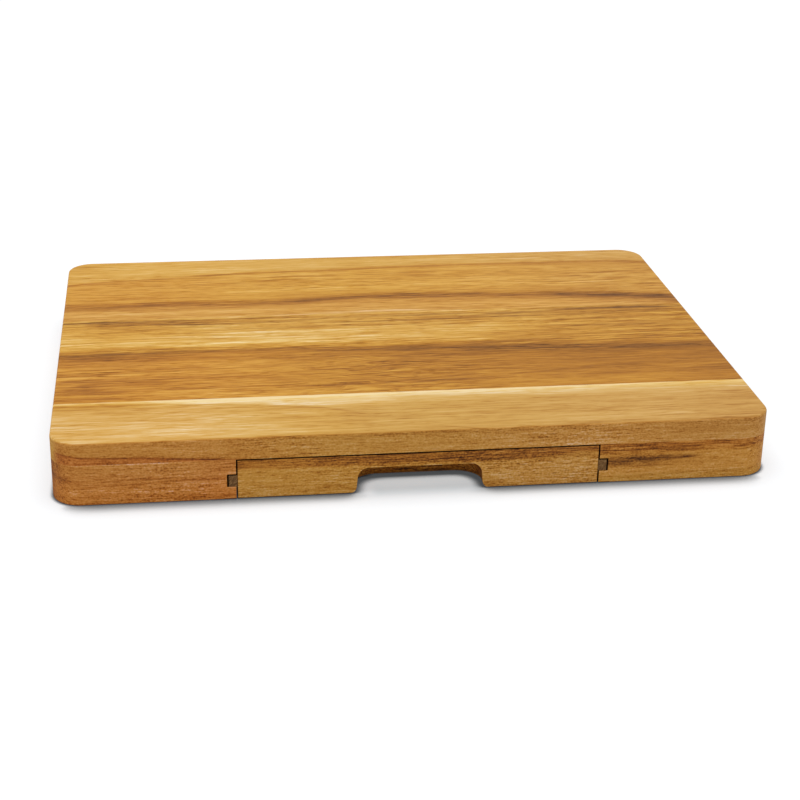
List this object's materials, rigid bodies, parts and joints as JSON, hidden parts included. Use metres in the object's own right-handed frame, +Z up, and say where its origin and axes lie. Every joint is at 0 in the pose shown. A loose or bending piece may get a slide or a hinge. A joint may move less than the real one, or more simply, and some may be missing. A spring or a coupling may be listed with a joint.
{
  "type": "cutting board with drawer trays",
  "caption": "Low wooden cutting board with shallow trays that slide out on runner strips from bays under the slab, each with a finger pocket in its face.",
  "frame": {"origin": "middle of the board's footprint, on the plane of its underside", "axes": "+X along the board's length to the right, +Y to the back, +Z up out of the cutting face"},
  "size_m": [0.4, 0.3, 0.0365],
  "materials": {
    "pale_top_wood": "oiled, satin",
    "brown_top_wood": "oiled, satin",
    "golden_top_wood": "oiled, satin",
    "base_wood": "oiled, satin",
    "tray_wood": "oiled, satin",
    "runner_wood": "bare end grain, waxed",
    "panel_wood": "sanded, satin"
  },
  "bodies": {
    "board": {"top_stave_front": "pale_top_wood", "top_stave_middle": "brown_top_wood", "top_stave_back": "golden_top_wood", "base_centre": "base_wood", "base_left_front": "base_wood", "base_left_front_inner": "base_wood", "base_left_back_inner": "base_wood", "base_left_back": "base_wood", "base_right_front": "base_wood", "base_right_front_inner": "base_wood", "base_right_back_inner": "base_wood", "base_right_back": "base_wood"},
    "front_tray": {"front_tray_face": "tray_wood", "front_tray_left_side": "tray_wood", "front_tray_right_side": "tray_wood", "front_tray_back": "tray_wood", "front_tray_bottom": "panel_wood", "front_tray_left_runner": "runner_wood", "front_tray_right_runner": "runner_wood"},
    "rear_tray": {"rear_tray_face": "tray_wood", "rear_tray_left_side": "tray_wood", "rear_tray_right_side": "tray_wood", "rear_tray_back": "tray_wood", "rear_tray_bottom": "panel_wood", "rear_tray_left_runner": "runner_wood", "rear_tray_right_runner": "runner_wood"}
  },
  "joints": [
    {"name": "front_tray_slide", "type": "slide", "parent": "board", "child": "front_tray", "axis": [0, -1, 0], "range_m": [0, 0.145]},
    {"name": "rear_tray_slide", "type": "slide", "parent": "board", "child": "rear_tray", "axis": [0, 1, 0], "range_m": [0, 0.145]}
  ]
}
